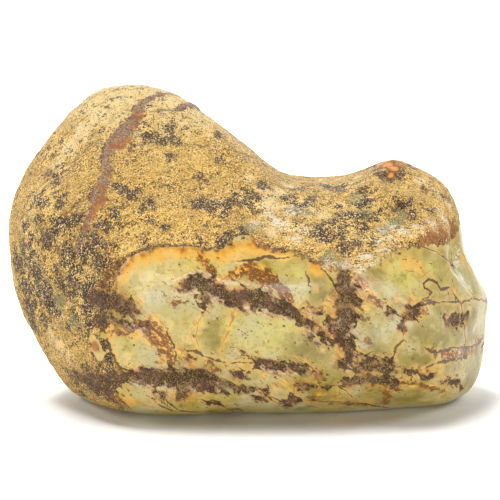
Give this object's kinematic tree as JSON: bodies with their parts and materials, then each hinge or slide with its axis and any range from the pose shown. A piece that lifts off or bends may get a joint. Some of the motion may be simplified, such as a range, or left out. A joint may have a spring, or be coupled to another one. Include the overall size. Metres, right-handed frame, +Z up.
{
  "type": "nephrite pebble",
  "caption": "Water-worn nephrite river pebble with a high rounded end, a saddle, a polished greenish face and a rusty rind, lying on its flattest side.",
  "frame": {"origin": "on the surface the pebble rests on, under the middle of its bounding box", "axes": "+X along its length from the high rounded end to the low boxy end, -Y out of the polished face, +Z up"},
  "size_m": [0.11, 0.062, 0.071],
  "materials": {
    "nephrite": "waxy, water-polished pale green nephrite with rusty veins under a matt, finely pitted ochre rind"
  },
  "bodies": {
    "root": {"pebble": "nephrite"}
  },
  "joints": []
}
